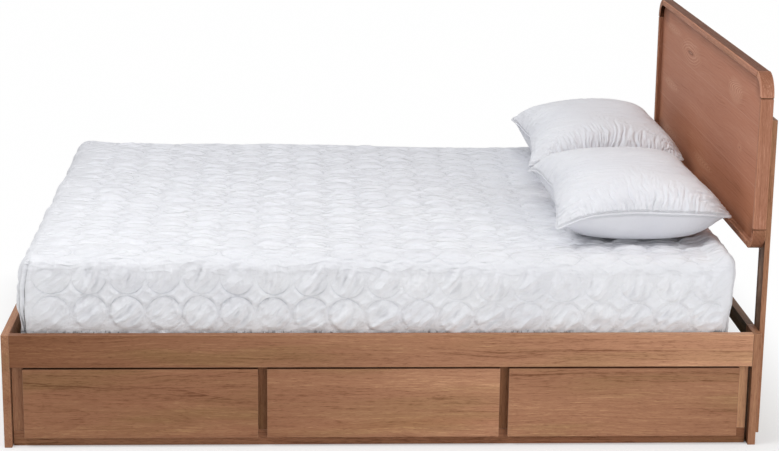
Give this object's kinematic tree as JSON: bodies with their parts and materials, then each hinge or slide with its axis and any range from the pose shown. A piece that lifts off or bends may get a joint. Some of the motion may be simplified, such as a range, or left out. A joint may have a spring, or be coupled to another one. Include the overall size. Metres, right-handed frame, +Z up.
{
  "type": "platform bed with storage drawers",
  "caption": "Low platform bed in walnut-brown wood with a row of handleless drawers along one side, a framed headboard with rounded corners, a quilted mattress and pillows.",
  "frame": {"origin": "on the floor, under the middle of the whole object", "axes": "+X points to the headboard, -Y is the side with the drawers, +Z is up"},
  "size_m": [2.166, 1.64, 1.077],
  "materials": {
    "walnut_board": "satin walnut-brown stain over straight-grained ash",
    "headboard_rim": "satin walnut-brown stain over straight-grained ash",
    "headboard_veneer": "satin reddish-brown stain over a veneer with flames and a knot",
    "raw_pine": "bare planed pine",
    "plywood": "bare birch-faced plywood",
    "slide_steel": "zinc-plated sheet steel",
    "bracket_steel": "zinc-plated sheet steel",
    "screw_steel": "blackened steel",
    "mattress_ticking": "woven ticking",
    "quilted_cotton": "quilted white cotton with rows of stitched ovals",
    "pillow_cotton": "gathered white cotton, smooth underneath"
  },
  "bodies": {
    "frame": {"footboard": "walnut_board", "side_rail_near": "walnut_board", "side_rail_far": "walnut_board", "head_leg_near": "walnut_board", "head_leg_far": "walnut_board", "head_cross_rail": "walnut_board", "base_bottom_rail": "walnut_board", "base_stile_1": "walnut_board", "base_stile_2": "walnut_board", "base_stile_3": "walnut_board", "base_stile_4": "walnut_board", "side_panel_far": "walnut_board", "centre_board": "raw_pine", "drawer_1_runner_boards": "raw_pine", "drawer_2_runner_boards": "raw_pine", "drawer_3_runner_boards": "raw_pine", "slat_cleat_near": "raw_pine", "slat_cleat_far": "raw_pine", "bed_slats": "raw_pine", "slat_screws": "screw_steel", "corner_brackets": "bracket_steel", "bracket_screws": "screw_steel", "drawer_slide_outers": "slide_steel", "headboard_panel": "headboard_veneer", "headboard_top_rail": "headboard_rim", "headboard_bottom_rail": "headboard_rim", "headboard_side_near": "headboard_rim", "headboard_side_far": "headboard_rim", "headboard_corner_top_near": "headboard_rim", "headboard_corner_top_far": "headboard_rim", "headboard_corner_bottom_near": "headboard_rim", "headboard_corner_bottom_far": "headboard_rim", "headboard_post_near": "walnut_board", "headboard_post_far": "walnut_board", "post_bolts": "screw_steel"},
    "drawer_1": {"drawer_1_front": "walnut_board", "drawer_1_side_left": "plywood", "drawer_1_side_right": "plywood", "drawer_1_back": "plywood", "drawer_1_bottom": "plywood", "drawer_1_slide_inners": "slide_steel"},
    "drawer_2": {"drawer_2_front": "walnut_board", "drawer_2_side_left": "plywood", "drawer_2_side_right": "plywood", "drawer_2_back": "plywood", "drawer_2_bottom": "plywood", "drawer_2_slide_inners": "slide_steel"},
    "drawer_3": {"drawer_3_front": "walnut_board", "drawer_3_side_left": "plywood", "drawer_3_side_right": "plywood", "drawer_3_back": "plywood", "drawer_3_bottom": "plywood", "drawer_3_slide_inners": "slide_steel"},
    "slide_1": {"drawer_1_slide_middles": "slide_steel"},
    "slide_2": {"drawer_2_slide_middles": "slide_steel"},
    "slide_3": {"drawer_3_slide_middles": "slide_steel"},
    "mattress": {"mattress": "mattress_ticking", "quilted_cover": "quilted_cotton"},
    "pillow_near": {"pillow_near": "pillow_cotton"},
    "pillow_far": {"pillow_far": "pillow_cotton"}
  },
  "joints": [
    {"name": "drawer_1_pull", "type": "slide", "parent": "frame", "child": "drawer_1", "axis": [0, -1, 0], "range_m": [0, 0.5]},
    {"name": "drawer_2_pull", "type": "slide", "parent": "frame", "child": "drawer_2", "axis": [0, -1, 0], "range_m": [0, 0.5]},
    {"name": "drawer_3_pull", "type": "slide", "parent": "frame", "child": "drawer_3", "axis": [0, -1, 0], "range_m": [0, 0.5]},
    {"name": "slide_1_travel", "type": "slide", "parent": "frame", "child": "slide_1", "axis": [0, -1, 0], "range_m": [0, 0.25]},
    {"name": "slide_2_travel", "type": "slide", "parent": "frame", "child": "slide_2", "axis": [0, -1, 0], "range_m": [0, 0.25]},
    {"name": "slide_3_travel", "type": "slide", "parent": "frame", "child": "slide_3", "axis": [0, -1, 0], "range_m": [0, 0.25]},
    {"name": "mattress_lift", "type": "slide", "parent": "frame", "child": "mattress", "axis": [0, 0, 1], "range_m": [0, 0.35]},
    {"name": "pillow_near_lift", "type": "slide", "parent": "mattress", "child": "pillow_near", "axis": [0, 0, 1], "range_m": [0, 0.3]},
    {"name": "pillow_far_lift", "type": "slide", "parent": "mattress", "child": "pillow_far", "axis": [0, 0, 1], "range_m": [0, 0.3]}
  ],
  "couplings": [
    {"joint": "slide_1_travel", "follows": "drawer_1_pull", "ratio": 0.5},
    {"joint": "slide_2_travel", "follows": "drawer_2_pull", "ratio": 0.5},
    {"joint": "slide_3_travel", "follows": "drawer_3_pull", "ratio": 0.5}
  ]
}
